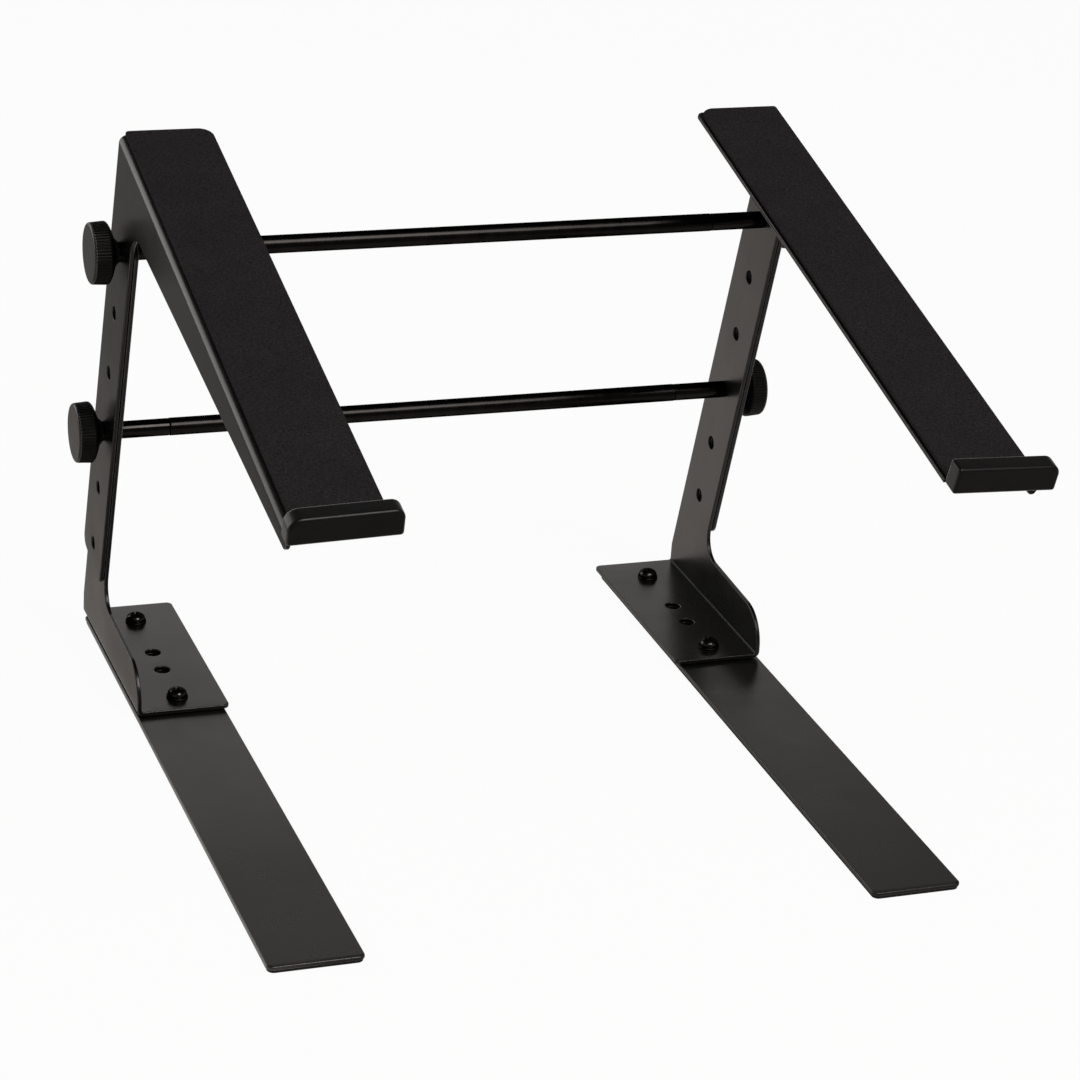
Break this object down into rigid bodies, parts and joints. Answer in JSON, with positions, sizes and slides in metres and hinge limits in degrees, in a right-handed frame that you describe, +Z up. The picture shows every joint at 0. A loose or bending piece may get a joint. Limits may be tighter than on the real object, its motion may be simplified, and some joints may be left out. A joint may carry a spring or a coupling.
{
  "type": "laptop stand",
  "caption": "Black steel tabletop stand: leaning side frames with sloping padded platforms and front lips, joined by crossbars that thumb knobs clamp, to hold a laptop above other gear.",
  "frame": {"origin": "middle of the stand's footprint, on the table", "axes": "+X to the stand's right, -Y to the front where the lips are, +Z up"},
  "size_m": [0.3076, 0.3291, 0.2425],
  "materials": {
    "powder_coat": "satin powder coat",
    "foam": "fine-grained EVA foam",
    "lip_rubber": "matte moulded rubber",
    "bar": "semi-gloss black",
    "stud": "zinc-plated thread",
    "insert": "gloss black",
    "screw": "gloss black plating",
    "washer": "black plating",
    "knob": "moulded, knurled rim"
  },
  "bodies": {
    "base": {"foot_plate_left": "powder_coat", "foot_underlay_left": "foam", "lower_bracket_left": "powder_coat", "foot_plate_right": "powder_coat", "foot_underlay_right": "foam", "lower_bracket_right": "powder_coat", "foot_screw_left_rear": "screw", "foot_washer_left_rear": "washer", "foot_screw_left_front": "screw", "foot_washer_left_front": "washer", "foot_screw_right_rear": "screw", "foot_washer_right_rear": "washer", "foot_screw_right_front": "screw", "foot_washer_right_front": "washer", "crossbar_upper": "bar", "crossbar_lower": "bar", "bar_end_upper_left": "bar", "clamp_stud_upper_left": "stud", "stud_tip_upper_left": "stud", "bar_end_upper_right": "bar", "clamp_stud_upper_right": "stud", "stud_tip_upper_right": "stud", "bar_end_lower_left": "bar", "clamp_stud_lower_left": "stud", "stud_tip_lower_left": "stud", "bar_end_lower_right": "bar", "clamp_stud_lower_right": "stud", "stud_tip_lower_right": "stud"},
    "upper_left": {"upper_bracket_left": "powder_coat", "platform_pad_left": "foam", "front_lip_left": "lip_rubber"},
    "upper_right": {"upper_bracket_right": "powder_coat", "platform_pad_right": "foam", "front_lip_right": "lip_rubber"},
    "bush_upper_left": {"knob_insert_upper_left": "insert"},
    "hand_knob_upper_left": {"knob_upper_left": "knob"},
    "bush_upper_right": {"knob_insert_upper_right": "insert"},
    "hand_knob_upper_right": {"knob_upper_right": "knob"},
    "bush_lower_left": {"knob_insert_lower_left": "insert"},
    "hand_knob_lower_left": {"knob_lower_left": "knob"},
    "bush_lower_right": {"knob_insert_lower_right": "insert"},
    "hand_knob_lower_right": {"knob_lower_right": "knob"}
  },
  "joints": [
    {"name": "height_left", "type": "slide", "parent": "base", "child": "upper_left", "axis": [0, -0.2672, 0.9636], "range_m": [0, 0.06]},
    {"name": "height_right", "type": "slide", "parent": "base", "child": "upper_right", "axis": [0, -0.2672, 0.9636], "range_m": [0, 0.06]},
    {"name": "knob_travel_upper_left", "type": "slide", "parent": "base", "child": "bush_upper_left", "axis": [-1, 0, 0], "range_m": [0, 0.0096]},
    {"name": "knob_turn_upper_left", "type": "hinge", "parent": "bush_upper_left", "child": "hand_knob_upper_left", "pos_m": [-0.1413, 0.098, 0.193], "axis": [-1, 0, 0], "range_deg": [0, 4320]},
    {"name": "knob_travel_upper_right", "type": "slide", "parent": "base", "child": "bush_upper_right", "axis": [1, 0, 0], "range_m": [0, 0.0096]},
    {"name": "knob_turn_upper_right", "type": "hinge", "parent": "bush_upper_right", "child": "hand_knob_upper_right", "pos_m": [0.1413, 0.098, 0.193], "axis": [1, 0, 0], "range_deg": [0, 4320]},
    {"name": "knob_travel_lower_left", "type": "slide", "parent": "base", "child": "bush_lower_left", "axis": [-1, 0, 0], "range_m": [0, 0.0096]},
    {"name": "knob_turn_lower_left", "type": "hinge", "parent": "bush_lower_left", "child": "hand_knob_lower_left", "pos_m": [-0.1413, 0.12205, 0.10627], "axis": [-1, 0, 0], "range_deg": [0, 4320]},
    {"name": "knob_travel_lower_right", "type": "slide", "parent": "base", "child": "bush_lower_right", "axis": [1, 0, 0], "range_m": [0, 0.0096]},
    {"name": "knob_turn_lower_right", "type": "hinge", "parent": "bush_lower_right", "child": "hand_knob_lower_right", "pos_m": [0.1413, 0.12205, 0.10627], "axis": [1, 0, 0], "range_deg": [0, 4320]}
  ],
  "couplings": [
    {"joint": "height_right", "follows": "height_left", "ratio": 1},
    {"joint": "knob_turn_upper_left", "follows": "knob_travel_upper_left", "rad_per_m": 7854},
    {"joint": "knob_turn_upper_right", "follows": "knob_travel_upper_right", "rad_per_m": 7854},
    {"joint": "knob_turn_lower_left", "follows": "knob_travel_lower_left", "rad_per_m": 7854},
    {"joint": "knob_turn_lower_right", "follows": "knob_travel_lower_right", "rad_per_m": 7854}
  ]
}
